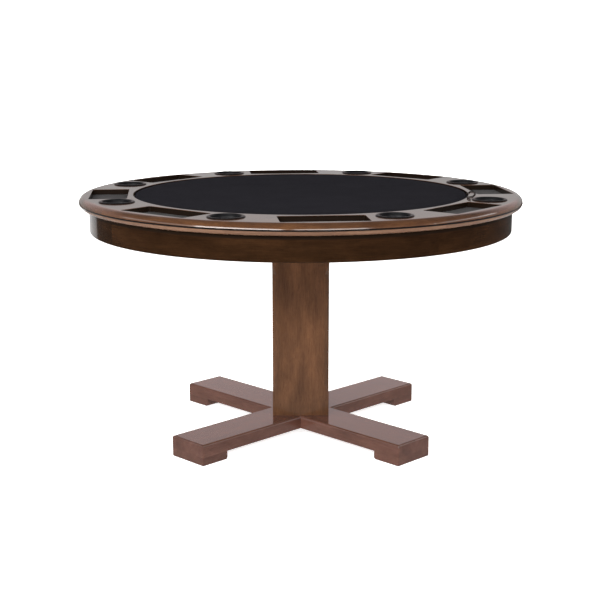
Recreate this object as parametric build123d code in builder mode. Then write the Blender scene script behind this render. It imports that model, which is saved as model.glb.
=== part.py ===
from build123d import *
import os
from math import asin, atan2, cos, degrees, pi, radians, sin, sqrt, tan

# Round gaming table on a square pedestal: a racetrack ring with a chip tray and a drop-in
# cup holder for each seat, round a lift-out play panel covered in black cloth.
# Millimetres, +Z up, origin on the floor under the centre of the table.
# The front is -Y, and angles turn from +X towards +Y.

os.makedirs("parts", exist_ok=True)

# ---- driving dimensions -------------------------------------------------------------------

TABLE_RADIUS = 686.0
TABLE_HEIGHT = 771.0
SEATS = 8
SEAT_PITCH = 360.0 / SEATS

# Top, counted down from the ring's upper face.
RING_THICKNESS = 17.0
DECK_THICKNESS = 17.0
RING_INNER_RADIUS = 520.0
RING_ARRIS = 1.5
NOSE_RADIUS = 21.0
DECK_RADIUS = 646.0
QUIRK_HEIGHT = 3.0
QUIRK_DEPTH = 4.0
SEAM_ANGLE = -10.1

# Chip trays: windows through the ring, floored by the deck and a glued cloth liner.
TRAY_ANGLE = 5.9
TRAY_INNER = 536.0
TRAY_OUTER = 650.0
TRAY_LENGTH = 242.0
TRAY_CORNER_RADIUS = 6.0
TRAY_ARRIS = 1.0
LINER_THICKNESS = 1.2
LINER_CLEARANCE = 0.4

# Cup holders, pressed plastic, dropped into round holes.
CUP_ANGLE = 25.3
CUP_CENTRE_RADIUS = 595.7
CUP_HOLE_RADIUS = 44.8
CUP_BODY_RADIUS = 44.0
CUP_WALL = 1.6
CUP_DEPTH = 62.0
CUP_TAPER = 1.2
CUP_FOOT_ROUND = 5.0
CUP_FLANGE_RADIUS = 53.0
CUP_FLANGE_HEIGHT = 3.4
CUP_SEAT_GAP = 0.2

# Edge and apron.
UNDER_RIM_BASE_RADIUS = 673.0
UNDER_RIM_BELLY = 2.5
APRON_RADIUS = 656.0
APRON_THICKNESS = 12.0
APRON_HEIGHT = 75.0
APRON_ROUND = 3.0
QUARTERS = 4
APRON_SEAM_ANGLE = 34.9
APRON_BLOCK_DEPTH = 28.0
APRON_BLOCK_HEIGHT = 45.0
APRON_BLOCK_SPAN = 5.0

# Play panel: plywood board, foam and stretched cloth with a hem stapled underneath.
PANEL_RADIUS = 516.0
PANEL_REST_GAP = 0.3
COVER_THICKNESS = 1.2
COVER_EDGE_RADIUS = 4.0
CROWN_RADIUS = 105.0
HEM_INNER_RADIUS = 488.0
BOARD_THICKNESS = 9.0
FOAM_THICKNESS = 6.8
STAPLES = 36
STAPLE_RADIUS = 500.0
STAPLE_CROWN = 10.0
STAPLE_WIRE = 0.7
STAPLE_LEG = 8.0

# Pull cord: lies on the ring, its first end in the gap beside the play panel.
CORD_DIAMETER = 3.0
CORD_RUN_SHARE = 0.45
CORD_LIE = TABLE_HEIGHT + CORD_DIAMETER / 2 + 0.4
CORD_ROUTE = [
    (514.4, -61.5, 763.5),
    (514.9, -57.0, 774.2),
    (518.4, -47.5, 773.1),
    (522.6, -34.2, CORD_LIE),
    (525.8, -21.6, CORD_LIE),
    (528.3, -11.4, CORD_LIE),
    (533.5, -9.3, CORD_LIE),
    (538.3, -12.3, CORD_LIE),
    (539.2, -23.0, CORD_LIE),
    (540.4, -40.0, CORD_LIE),
    (538.6, -61.0, CORD_LIE),
    (533.2, -84.0, CORD_LIE),
    (527.0, -106.0, CORD_LIE),
    (522.4, -126.0, CORD_LIE),
    (517.6, -139.0, CORD_LIE),
    (508.8, -145.4, CORD_LIE),
    (501.8, -153.4, CORD_LIE),
    (498.8, -166.0, CORD_LIE),
    (498.0, -182.0, CORD_LIE),
    (499.2, -198.0, CORD_LIE),
    (503.0, -212.0, CORD_LIE),
]

# Column: four mitred boards with stopped chamfers.
COLUMN_WIDTH = 178.0
COLUMN_BOARD = 22.0
CHAMFER_LEG = 14.0
CHAMFER_FOOT = 137.0
CHAMFER_FOOT_FULL = 167.0
CHAMFER_HEAD_FULL = 523.0
CHAMFER_HEAD = 560.0
PLUG_THICKNESS = 40.0
GLUE_STRIP = 24.0
GLUE_STRIP_GAP = 5.0
HEAD_PLATE_WIDTH = 300.0
HEAD_PLATE_THICKNESS = 22.0
BATTEN_LENGTH = 1190.0
BATTEN_WIDTH = 90.0
BATTEN_DEPTH = 45.0

# Base: two half-lapped beams crossing at 45 degrees, on foot blocks with nail-on glides.
BEAM_WIDTH = 143.0
BEAM_REACH = 482.0
BEAM_TOP = 65.5
BEAM_UNDERSIDE = 26.5
BEAM_TOP_ROUND = 7.0
BEAM_END_ROUND = 3.0
LOWER_BEAM_ANGLE = 45.0
UPPER_BEAM_ANGLE = 135.0
FOOT_LENGTH = 97.0
FOOT_INNER_ROUND = 7.0
GLIDE_RADIUS = 14.0
GLIDE_THICKNESS = 4.0
GLIDE_PROUD = 1.5
GLIDE_OFFSET = 48.0

# Fasteners.
BOLT_CIRCLE_RADIUS = 45.0
BOLT_RADIUS = 5.0
BOLT_HOLE_RADIUS = 5.5
BOLT_HEAD_ACROSS_FLATS = 17.0
BOLT_HEAD_HEIGHT = 6.0
BOLT_SHANK_LENGTH = 60.0
WASHER_RADIUS = 10.5
WASHER_THICKNESS = 2.0
COUNTERBORE_RADIUS = 12.0
INSERT_RADIUS = 7.5
INSERT_LENGTH = 28.0
SCREW_RADIUS = 2.2
SCREW_HEAD_RADIUS = 4.4
SCREW_HEAD_HEIGHT = 2.6
FOOT_SCREW_LENGTH = 45.0
FOOT_SCREW_OFFSET = 20.0
FOOT_SCREW_SINK = 10.0
FOOT_SCREW_SINK_RADIUS = 5.5
PLUG_SCREW_LENGTH = 50.0
PLUG_SCREW_OFFSET = 56.0
PLATE_SCREW_LENGTH = 45.0
PLATE_SCREW_RADIUS = 125.0
PLATE_SCREW_OFFSET = 25.0
BATTEN_SCREW_LENGTH = 55.0
BATTEN_SCREW_RADII = (200.0, 360.0, 520.0)
RING_SCREW_LENGTH = 28.0
RING_SCREW_RADIUS = 600.0
RING_SCREW_ANGLE = 1.8
SPLINE_RADIUS_IN = 570.0
SPLINE_RADIUS_OUT = 630.0
SPLINE_WIDTH = 16.0
SPLINE_THICKNESS = 3.0

# ---- levels and radii worked out from them ---------------------------------------------------

ring_bottom = TABLE_HEIGHT - RING_THICKNESS
deck_bottom = ring_bottom - DECK_THICKNESS
nose_centre_radius = TABLE_RADIUS - NOSE_RADIUS
nose_centre_height = TABLE_HEIGHT - NOSE_RADIUS
apron_bottom = deck_bottom - APRON_HEIGHT
apron_inner_radius = APRON_RADIUS - APRON_THICKNESS
batten_bottom = deck_bottom - BATTEN_DEPTH
batten_middle = batten_bottom + BATTEN_DEPTH / 2
head_plate_bottom = batten_bottom - HEAD_PLATE_THICKNESS
column_top = head_plate_bottom
column_half = COLUMN_WIDTH / 2
column_inside = COLUMN_WIDTH - 2 * COLUMN_BOARD
beam_middle = (BEAM_TOP + BEAM_UNDERSIDE) / 2
foot_bottom = GLIDE_PROUD
hem_bottom = ring_bottom + PANEL_REST_GAP
board_bottom = hem_bottom + COVER_THICKNESS
board_top = board_bottom + BOARD_THICKNESS
foam_top = board_top + FOAM_THICKNESS
cover_top = foam_top + COVER_THICKNESS
board_radius = PANEL_RADIUS - COVER_THICKNESS
panel_edge_centre = PANEL_RADIUS - COVER_EDGE_RADIUS
crown_centre_height = cover_top - CROWN_RADIUS
crown_reach = sqrt(
    (CROWN_RADIUS - COVER_EDGE_RADIUS) ** 2 - (board_top - crown_centre_height) ** 2
)
crown_start = panel_edge_centre - crown_reach
crown_angle = degrees(atan2(board_top - crown_centre_height, crown_reach))
tray_middle = (TRAY_INNER + TRAY_OUTER) / 2
tray_width = TRAY_OUTER - TRAY_INNER
cup_flange_bottom = TABLE_HEIGHT + CUP_SEAT_GAP
cup_bottom = TABLE_HEIGHT - CUP_DEPTH


# ---- helpers ---------------------------------------------------------------------------------


def radial_plane(angle):
    """Upright plane through the table's axis: its x runs outward at that angle, its y runs up."""
    a = radians(angle)
    return Plane(origin=(0, 0, 0), x_dir=(cos(a), sin(a), 0), z_dir=(sin(a), -cos(a), 0))


def level(height):
    """Horizontal plane at that height, facing up."""
    return Plane.XY.offset(height)


def turned_level(height, angle):
    """Horizontal plane at that height, its x axis pointing outward at that angle."""
    a = radians(angle)
    return Plane(origin=(0, 0, height), x_dir=(cos(a), sin(a), 0), z_dir=(0, 0, 1))


def polar(radius, angle):
    """Plan position at that radius and angle."""
    a = radians(angle)
    return (radius * cos(a), radius * sin(a))


def write_piece(piece, name):
    """Label one finished piece and write it as its own STEP file."""
    piece.part.label = name
    export_step(piece.part, f"parts/{name}.step")


def make_screws(points, head_height, length, points_up):
    """Flat-head screws as plain shanks under conical heads, all on one level and one way up."""
    way = 1 if points_up else -1
    with BuildPart() as screws:
        for x, y in points:
            with BuildSketch(Plane(origin=(x, y, head_height), x_dir=(1, 0, 0), z_dir=(0, -1, 0))):
                with BuildLine():
                    Polyline(
                        (0, 0),
                        (SCREW_HEAD_RADIUS, 0),
                        (SCREW_RADIUS, way * SCREW_HEAD_HEIGHT),
                        (SCREW_RADIUS, way * (length - 2 * SCREW_RADIUS)),
                        (0, way * length),
                        close=True,
                    )
                make_face()
            revolve(axis=Axis((x, y, head_height), (0, 0, 1)))
    return screws


def cut_screw_seats(points, head_height, length, points_up):
    """Cuts, in the part being built, the holes that those same screws fill."""
    screws = make_screws(points, head_height, length, points_up)
    add(screws.part, mode=Mode.SUBTRACT)


seat_angles = [seat * SEAT_PITCH for seat in range(SEATS)]
ring_screw_points = [
    polar(RING_SCREW_RADIUS, SEAM_ANGLE + turn + side * RING_SCREW_ANGLE)
    for turn in seat_angles
    for side in (-1, 1)
]
foot_screw_points = [
    polar(
        sqrt((BEAM_REACH - FOOT_LENGTH / 2) ** 2 + FOOT_SCREW_OFFSET**2),
        LOWER_BEAM_ANGLE
        + quarter * 90.0
        + side * degrees(asin(FOOT_SCREW_OFFSET / (BEAM_REACH - FOOT_LENGTH / 2))),
    )
    for quarter in range(4)
    for side in (-1, 1)
]
plug_screw_points = [
    (x * PLUG_SCREW_OFFSET, y * PLUG_SCREW_OFFSET) for x in (-1, 1) for y in (-1, 1)
]
plate_screw_points = [
    (x * PLATE_SCREW_RADIUS, y * PLATE_SCREW_OFFSET) for x in (-1, 1) for y in (-1, 1)
] + [(x * PLATE_SCREW_OFFSET, y * PLATE_SCREW_RADIUS) for x in (-1, 1) for y in (-1, 1)]
batten_screw_points = [
    polar(radius, quarter * 90.0) for radius in BATTEN_SCREW_RADII for quarter in range(4)
]


# ---- base ------------------------------------------------------------------------------------


def make_beam(angle, notch_bottom, notch_top):
    """One arm of the cross. Both share the rounded top outline of the whole cross."""
    with BuildPart() as beam:
        with BuildSketch(turned_level(BEAM_UNDERSIDE, LOWER_BEAM_ANGLE)):
            Rectangle(2 * BEAM_REACH, BEAM_WIDTH)
            Rectangle(BEAM_WIDTH, 2 * BEAM_REACH)
        extrude(amount=BEAM_TOP - BEAM_UNDERSIDE)
        uprights = beam.edges().filter_by(Axis.Z)
        ends = uprights.sort_by(lambda e: Vector(e.center().X, e.center().Y, 0).length)[-8:]
        fillet(ends, radius=BEAM_END_ROUND)
        fillet(beam.faces().sort_by(Axis.Z)[-1].edges(), radius=BEAM_TOP_ROUND)
        with BuildSketch(turned_level(BEAM_UNDERSIDE, angle)):
            Rectangle(2 * BEAM_REACH, BEAM_WIDTH)
        extrude(amount=BEAM_TOP - BEAM_UNDERSIDE, mode=Mode.INTERSECT)
        with BuildSketch(turned_level(notch_bottom, angle)):
            Rectangle(BEAM_WIDTH, BEAM_WIDTH)
        extrude(amount=notch_top - notch_bottom, mode=Mode.SUBTRACT)
        with BuildSketch(level(BEAM_UNDERSIDE)):
            with PolarLocations(BOLT_CIRCLE_RADIUS, 4):
                Circle(BOLT_HOLE_RADIUS)
        extrude(amount=BEAM_TOP - BEAM_UNDERSIDE, mode=Mode.SUBTRACT)
        with BuildSketch(level(BEAM_UNDERSIDE)):
            with PolarLocations(BOLT_CIRCLE_RADIUS, 4):
                Circle(COUNTERBORE_RADIUS)
        extrude(amount=BOLT_HEAD_HEIGHT + WASHER_THICKNESS, mode=Mode.SUBTRACT)
        cut_screw_seats(foot_screw_points, foot_bottom + FOOT_SCREW_SINK, FOOT_SCREW_LENGTH, True)
    return beam


lower_beam = make_beam(LOWER_BEAM_ANGLE, beam_middle, BEAM_TOP)
write_piece(lower_beam, "lower_beam")

upper_beam = make_beam(UPPER_BEAM_ANGLE, BEAM_UNDERSIDE, beam_middle)
write_piece(upper_beam, "upper_beam")

for foot in range(4):
    foot_angle = LOWER_BEAM_ANGLE + foot * 90.0
    with BuildPart() as foot_block:
        with BuildSketch(turned_level(foot_bottom, foot_angle)):
            with Locations((BEAM_REACH - FOOT_LENGTH / 2, 0)):
                Rectangle(FOOT_LENGTH, BEAM_WIDTH)
        extrude(amount=BEAM_UNDERSIDE - foot_bottom)
        corners = foot_block.edges().filter_by(Axis.Z).sort_by(lambda e: e.center().length)
        fillet(corners[-2:], radius=BEAM_END_ROUND)
        lower_edges = foot_block.faces().sort_by(Axis.Z)[0].edges()
        fillet(lower_edges.sort_by(lambda e: e.center().length)[0], radius=FOOT_INNER_ROUND)
        with BuildSketch(turned_level(foot_bottom, foot_angle)):
            with Locations(
                (BEAM_REACH - FOOT_LENGTH / 2, GLIDE_OFFSET),
                (BEAM_REACH - FOOT_LENGTH / 2, -GLIDE_OFFSET),
            ):
                Circle(GLIDE_RADIUS)
        extrude(amount=GLIDE_THICKNESS - GLIDE_PROUD, mode=Mode.SUBTRACT)
        with BuildSketch(turned_level(foot_bottom, foot_angle)):
            with Locations(
                (BEAM_REACH - FOOT_LENGTH / 2, FOOT_SCREW_OFFSET),
                (BEAM_REACH - FOOT_LENGTH / 2, -FOOT_SCREW_OFFSET),
            ):
                Circle(FOOT_SCREW_SINK_RADIUS)
        extrude(amount=FOOT_SCREW_SINK, mode=Mode.SUBTRACT)
        cut_screw_seats(foot_screw_points, foot_bottom + FOOT_SCREW_SINK, FOOT_SCREW_LENGTH, True)
    write_piece(foot_block, f"foot_block_{foot}")

with BuildPart() as foot_glides:
    for foot in range(4):
        with BuildSketch(turned_level(0, LOWER_BEAM_ANGLE + foot * 90.0)):
            with Locations(
                (BEAM_REACH - FOOT_LENGTH / 2, GLIDE_OFFSET),
                (BEAM_REACH - FOOT_LENGTH / 2, -GLIDE_OFFSET),
            ):
                Circle(GLIDE_RADIUS)
        extrude(amount=GLIDE_THICKNESS)
write_piece(foot_glides, "foot_glides")

foot_screws = make_screws(
    foot_screw_points, foot_bottom + FOOT_SCREW_SINK, FOOT_SCREW_LENGTH, True
)
write_piece(foot_screws, "foot_screws")


# ---- column ----------------------------------------------------------------------------------

column_sides = {"front": -90.0, "right": 0.0, "back": 90.0, "left": 180.0}
chamfer_depth = CHAMFER_LEG / sqrt(2)

for side, side_angle in column_sides.items():
    with BuildPart() as column_board:
        with BuildSketch(turned_level(BEAM_TOP, side_angle)):
            with BuildLine():
                Polyline(
                    (column_half, -column_half),
                    (column_half, column_half),
                    (column_inside / 2, column_inside / 2),
                    (column_inside / 2, -column_inside / 2),
                    close=True,
                )
            make_face()
        extrude(amount=column_top - BEAM_TOP)
        for corner_angle in (side_angle - 45.0, side_angle + 45.0):
            corner_radius = column_half * sqrt(2)
            with BuildSketch(radial_plane(corner_angle)):
                with BuildLine():
                    Polyline(
                        (corner_radius, CHAMFER_FOOT),
                        (corner_radius - chamfer_depth, CHAMFER_FOOT_FULL),
                        (corner_radius - chamfer_depth, CHAMFER_HEAD_FULL),
                        (corner_radius, CHAMFER_HEAD),
                        (corner_radius + chamfer_depth, CHAMFER_HEAD),
                        (corner_radius + chamfer_depth, CHAMFER_FOOT),
                        close=True,
                    )
                make_face()
            extrude(amount=CHAMFER_LEG, both=True, mode=Mode.SUBTRACT)
    write_piece(column_board, f"column_board_{side}")

with BuildPart() as column_glue_strips:
    with BuildSketch(level(BEAM_TOP + PLUG_THICKNESS + GLUE_STRIP_GAP)):
        with GridLocations(column_inside - GLUE_STRIP, column_inside - GLUE_STRIP, 2, 2):
            Rectangle(GLUE_STRIP, GLUE_STRIP)
    extrude(amount=column_top - BEAM_TOP - 2 * (PLUG_THICKNESS + GLUE_STRIP_GAP))
write_piece(column_glue_strips, "column_glue_strips")

with BuildPart() as column_foot_plug:
    with BuildSketch(level(BEAM_TOP)):
        Rectangle(column_inside, column_inside)
    extrude(amount=PLUG_THICKNESS)
    with BuildSketch(level(BEAM_TOP)):
        with PolarLocations(BOLT_CIRCLE_RADIUS, 4):
            Circle(INSERT_RADIUS)
    extrude(amount=PLUG_THICKNESS, mode=Mode.SUBTRACT)
write_piece(column_foot_plug, "column_foot_plug")

with BuildPart() as column_head_plug:
    with BuildSketch(level(column_top - PLUG_THICKNESS)):
        Rectangle(column_inside, column_inside)
    extrude(amount=PLUG_THICKNESS)
    cut_screw_seats(plug_screw_points, batten_bottom, PLUG_SCREW_LENGTH, False)
write_piece(column_head_plug, "column_head_plug")

with BuildPart() as threaded_inserts:
    with BuildSketch(level(BEAM_TOP)):
        with PolarLocations(BOLT_CIRCLE_RADIUS, 4):
            Circle(INSERT_RADIUS)
            Circle(BOLT_RADIUS, mode=Mode.SUBTRACT)
    extrude(amount=INSERT_LENGTH)
write_piece(threaded_inserts, "threaded_inserts")

with BuildPart() as base_washers:
    with BuildSketch(level(BEAM_UNDERSIDE + BOLT_HEAD_HEIGHT)):
        with PolarLocations(BOLT_CIRCLE_RADIUS, 4):
            Circle(WASHER_RADIUS)
            Circle(BOLT_RADIUS, mode=Mode.SUBTRACT)
    extrude(amount=WASHER_THICKNESS)
write_piece(base_washers, "base_washers")

with BuildPart() as base_bolts:
    with BuildSketch(level(BEAM_UNDERSIDE)):
        with PolarLocations(BOLT_CIRCLE_RADIUS, 4):
            RegularPolygon(BOLT_HEAD_ACROSS_FLATS / 2, 6, major_radius=False)
    extrude(amount=BOLT_HEAD_HEIGHT)
    with BuildSketch(level(BEAM_UNDERSIDE + BOLT_HEAD_HEIGHT)):
        with PolarLocations(BOLT_CIRCLE_RADIUS, 4):
            Circle(BOLT_RADIUS)
    extrude(amount=BOLT_SHANK_LENGTH)
write_piece(base_bolts, "base_bolts")

with BuildPart() as head_plate:
    with BuildSketch(level(head_plate_bottom)):
        Rectangle(HEAD_PLATE_WIDTH, HEAD_PLATE_WIDTH)
    extrude(amount=HEAD_PLATE_THICKNESS)
    fillet(head_plate.edges().filter_by(Axis.Z), radius=BEAM_END_ROUND)
    cut_screw_seats(plug_screw_points, batten_bottom, PLUG_SCREW_LENGTH, False)
    cut_screw_seats(plate_screw_points, head_plate_bottom, PLATE_SCREW_LENGTH, True)
write_piece(head_plate, "head_plate")

plug_screws = make_screws(plug_screw_points, batten_bottom, PLUG_SCREW_LENGTH, False)
write_piece(plug_screws, "plug_screws")

plate_screws = make_screws(plate_screw_points, head_plate_bottom, PLATE_SCREW_LENGTH, True)
write_piece(plate_screws, "plate_screws")


# ---- battens and deck under the top ----------------------------------------------------------


def make_batten(angle, notch_bottom):
    """One of two half-lapped battens that carry the deck on the column's head plate."""
    with BuildPart() as batten:
        with BuildSketch(turned_level(batten_bottom, angle)):
            Rectangle(BATTEN_LENGTH, BATTEN_WIDTH)
        extrude(amount=BATTEN_DEPTH)
        with BuildSketch(turned_level(notch_bottom, angle)):
            Rectangle(BATTEN_WIDTH, BATTEN_WIDTH)
        extrude(amount=BATTEN_DEPTH / 2, mode=Mode.SUBTRACT)
        cut_screw_seats(plate_screw_points, head_plate_bottom, PLATE_SCREW_LENGTH, True)
        cut_screw_seats(batten_screw_points, batten_bottom, BATTEN_SCREW_LENGTH, True)
    return batten


batten_x = make_batten(0.0, batten_middle)
write_piece(batten_x, "top_batten_x")

batten_y = make_batten(90.0, batten_bottom)
write_piece(batten_y, "top_batten_y")

batten_screws = make_screws(batten_screw_points, batten_bottom, BATTEN_SCREW_LENGTH, True)
write_piece(batten_screws, "batten_screws")

with BuildPart() as deck_panel:
    with BuildSketch(level(deck_bottom)):
        Circle(DECK_RADIUS)
        with PolarLocations(CUP_CENTRE_RADIUS, SEATS, start_angle=CUP_ANGLE):
            Circle(CUP_HOLE_RADIUS, mode=Mode.SUBTRACT)
    extrude(amount=DECK_THICKNESS)
    cut_screw_seats(batten_screw_points, batten_bottom, BATTEN_SCREW_LENGTH, True)
    cut_screw_seats(ring_screw_points, deck_bottom, RING_SCREW_LENGTH, True)
write_piece(deck_panel, "deck_panel")

ring_screws = make_screws(ring_screw_points, deck_bottom, RING_SCREW_LENGTH, True)
write_piece(ring_screws, "ring_screws")


# ---- racetrack ring --------------------------------------------------------------------------

nose_start = degrees(asin((ring_bottom - nose_centre_height) / NOSE_RADIUS))
spline_bottom = ring_bottom + (RING_THICKNESS - SPLINE_THICKNESS) / 2
spline_middle = (SPLINE_RADIUS_IN + SPLINE_RADIUS_OUT) / 2
spline_length = SPLINE_RADIUS_OUT - SPLINE_RADIUS_IN

for seat, turn in enumerate(seat_angles):
    with BuildPart() as ring_segment:
        with BuildSketch(radial_plane(SEAM_ANGLE + turn)):
            with BuildLine():
                nose = CenterArc(
                    (nose_centre_radius, nose_centre_height),
                    NOSE_RADIUS,
                    start_angle=nose_start,
                    arc_size=90.0 - nose_start,
                )
                top = Line(nose @ 1, (RING_INNER_RADIUS + RING_ARRIS, TABLE_HEIGHT))
                arris = TangentArc(
                    top @ 1, (RING_INNER_RADIUS, TABLE_HEIGHT - RING_ARRIS), tangent=(-1, 0)
                )
                Polyline(arris @ 1, (RING_INNER_RADIUS, ring_bottom), nose @ 0)
            make_face()
        revolve(axis=Axis.Z, revolution_arc=SEAT_PITCH)
        with BuildSketch(turned_level(ring_bottom, TRAY_ANGLE + turn)):
            with Locations((tray_middle, 0)):
                RectangleRounded(tray_width, TRAY_LENGTH, TRAY_CORNER_RADIUS)
        extrude(amount=RING_THICKNESS, mode=Mode.SUBTRACT)
        window_edges = ring_segment.edges(Select.LAST).filter_by_position(
            Axis.Z, TABLE_HEIGHT, TABLE_HEIGHT
        )
        fillet(window_edges, radius=TRAY_ARRIS)
        with BuildSketch(level(ring_bottom)):
            with Locations(polar(CUP_CENTRE_RADIUS, CUP_ANGLE + turn)):
                Circle(CUP_HOLE_RADIUS)
        extrude(amount=RING_THICKNESS, mode=Mode.SUBTRACT)
        for seam in (SEAM_ANGLE + turn, SEAM_ANGLE + turn + SEAT_PITCH):
            with BuildSketch(turned_level(spline_bottom, seam)):
                with Locations((spline_middle, 0)):
                    Rectangle(spline_length, SPLINE_WIDTH)
            extrude(amount=SPLINE_THICKNESS, mode=Mode.SUBTRACT)
        cut_screw_seats(ring_screw_points, deck_bottom, RING_SCREW_LENGTH, True)
    write_piece(ring_segment, f"ring_segment_{seat}")

with BuildPart() as ring_splines:
    for turn in seat_angles:
        with BuildSketch(turned_level(spline_bottom, SEAM_ANGLE + turn)):
            with Locations((spline_middle, 0)):
                Rectangle(spline_length, SPLINE_WIDTH)
        extrude(amount=SPLINE_THICKNESS)
write_piece(ring_splines, "ring_splines")

with BuildPart() as tray_liners:
    for turn in seat_angles:
        with BuildSketch(turned_level(ring_bottom, TRAY_ANGLE + turn)):
            with Locations((tray_middle, 0)):
                RectangleRounded(
                    tray_width - 2 * LINER_CLEARANCE,
                    TRAY_LENGTH - 2 * LINER_CLEARANCE,
                    TRAY_CORNER_RADIUS,
                )
        extrude(amount=LINER_THICKNESS)
write_piece(tray_liners, "tray_liners")


# ---- moulded edge and apron ------------------------------------------------------------------

lip_height = ring_bottom - QUIRK_HEIGHT
belly_radius = (TABLE_RADIUS + UNDER_RIM_BASE_RADIUS) / 2 + UNDER_RIM_BELLY / sqrt(2)
belly_height = (lip_height + deck_bottom) / 2 - UNDER_RIM_BELLY / sqrt(2)

for quarter in range(QUARTERS):
    quarter_start = APRON_SEAM_ANGLE + quarter * 360.0 / QUARTERS
    with BuildPart() as under_rim:
        with BuildSketch(radial_plane(quarter_start)):
            with BuildLine():
                Polyline(
                    (UNDER_RIM_BASE_RADIUS, deck_bottom),
                    (DECK_RADIUS, deck_bottom),
                    (DECK_RADIUS, ring_bottom),
                    (TABLE_RADIUS - QUIRK_DEPTH, ring_bottom),
                    (TABLE_RADIUS - QUIRK_DEPTH, lip_height),
                    (TABLE_RADIUS, lip_height),
                )
                ThreePointArc(
                    (TABLE_RADIUS, lip_height),
                    (belly_radius, belly_height),
                    (UNDER_RIM_BASE_RADIUS, deck_bottom),
                )
            make_face()
        revolve(axis=Axis.Z, revolution_arc=360.0 / QUARTERS)
    write_piece(under_rim, f"under_rim_{quarter}")

    with BuildPart() as apron:
        with BuildSketch(radial_plane(quarter_start)):
            with Locations((apron_inner_radius, apron_bottom)):
                Rectangle(APRON_THICKNESS, APRON_HEIGHT, align=(Align.MIN, Align.MIN))
            outer_foot = vertices().group_by(Axis.Y)[0].sort_by(Axis.X)[-1]
            fillet(outer_foot, radius=APRON_ROUND)
        revolve(axis=Axis.Z, revolution_arc=360.0 / QUARTERS)
    write_piece(apron, f"apron_{quarter}")

with BuildPart() as apron_blocks:
    for turn in seat_angles:
        with BuildSketch(radial_plane(TRAY_ANGLE + turn - APRON_BLOCK_SPAN / 2)):
            with Locations((apron_inner_radius, deck_bottom)):
                Rectangle(APRON_BLOCK_DEPTH, APRON_BLOCK_HEIGHT, align=(Align.MAX, Align.MAX))
        revolve(axis=Axis.Z, revolution_arc=APRON_BLOCK_SPAN)
write_piece(apron_blocks, "apron_blocks")


# ---- cup holders -----------------------------------------------------------------------------

for seat, turn in enumerate(seat_angles):
    cup_x, cup_y = polar(CUP_CENTRE_RADIUS, CUP_ANGLE + turn)
    cup_plane = Plane(origin=(cup_x, cup_y, 0), x_dir=(1, 0, 0), z_dir=(0, -1, 0))
    inner_radius = CUP_BODY_RADIUS - CUP_WALL
    foot_radius = CUP_BODY_RADIUS - CUP_TAPER
    flange_top = cup_flange_bottom + CUP_FLANGE_HEIGHT
    with BuildPart() as cup_holder:
        with BuildSketch(cup_plane):
            with BuildLine():
                Polyline(
                    (0, cup_bottom + CUP_WALL),
                    (0, cup_bottom),
                    (foot_radius - CUP_FOOT_ROUND, cup_bottom),
                )
                RadiusArc(
                    (foot_radius - CUP_FOOT_ROUND, cup_bottom),
                    (foot_radius, cup_bottom + CUP_FOOT_ROUND),
                    -CUP_FOOT_ROUND,
                )
                Polyline(
                    (foot_radius, cup_bottom + CUP_FOOT_ROUND),
                    (CUP_BODY_RADIUS, cup_flange_bottom),
                    (CUP_FLANGE_RADIUS, cup_flange_bottom),
                )
                ThreePointArc(
                    (CUP_FLANGE_RADIUS, cup_flange_bottom),
                    ((CUP_FLANGE_RADIUS + inner_radius) / 2, flange_top),
                    (inner_radius, cup_flange_bottom),
                )
                Line(
                    (inner_radius, cup_flange_bottom),
                    (foot_radius - CUP_WALL, cup_bottom + CUP_FOOT_ROUND),
                )
                RadiusArc(
                    (foot_radius - CUP_WALL, cup_bottom + CUP_FOOT_ROUND),
                    (foot_radius - CUP_FOOT_ROUND, cup_bottom + CUP_WALL),
                    CUP_FOOT_ROUND - CUP_WALL,
                )
                Line(
                    (foot_radius - CUP_FOOT_ROUND, cup_bottom + CUP_WALL),
                    (0, cup_bottom + CUP_WALL),
                )
            make_face()
        revolve(axis=Axis((cup_x, cup_y, 0), (0, 0, 1)))
    write_piece(cup_holder, f"cup_holder_{seat}")


# ---- lift-out play panel ---------------------------------------------------------------------

# The pulled cloth presses the foam down near the edge, so the upper face falls away there in
# a shallow crown and turns over a tight roll into the side.


def crown_line(inset):
    """Upper face of the panel, from the side to the middle, that far inside the cover's face."""
    roll = CenterArc(
        (panel_edge_centre, board_top),
        COVER_EDGE_RADIUS - inset,
        start_angle=0,
        arc_size=crown_angle,
    )
    crown = CenterArc(
        (crown_start, crown_centre_height),
        CROWN_RADIUS - inset,
        start_angle=crown_angle,
        arc_size=90 - crown_angle,
    )
    Line(crown @ 1, (0, cover_top - inset))
    return roll @ 0


with BuildPart() as play_board:
    with BuildSketch(level(board_bottom)):
        Circle(board_radius)
    extrude(amount=BOARD_THICKNESS)
write_piece(play_board, "play_board")

with BuildPart() as foam_pad:
    with BuildSketch(radial_plane(0)):
        with BuildLine():
            foam_rim = crown_line(COVER_THICKNESS)
            Polyline((0, foam_top), (0, board_top), foam_rim)
        make_face()
    revolve(axis=Axis.Z)
write_piece(foam_pad, "foam_pad")

with BuildPart() as felt_cover:
    with BuildSketch(radial_plane(0)):
        with BuildLine():
            outer_rim = crown_line(0)
            inner_rim = crown_line(COVER_THICKNESS)
            Polyline(
                outer_rim,
                (PANEL_RADIUS, hem_bottom),
                (HEM_INNER_RADIUS, hem_bottom),
                (HEM_INNER_RADIUS, board_bottom),
                (board_radius, board_bottom),
                inner_rim,
            )
            Line((0, foam_top), (0, cover_top))
        make_face()
    revolve(axis=Axis.Z)
write_piece(felt_cover, "felt_cover")

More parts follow.
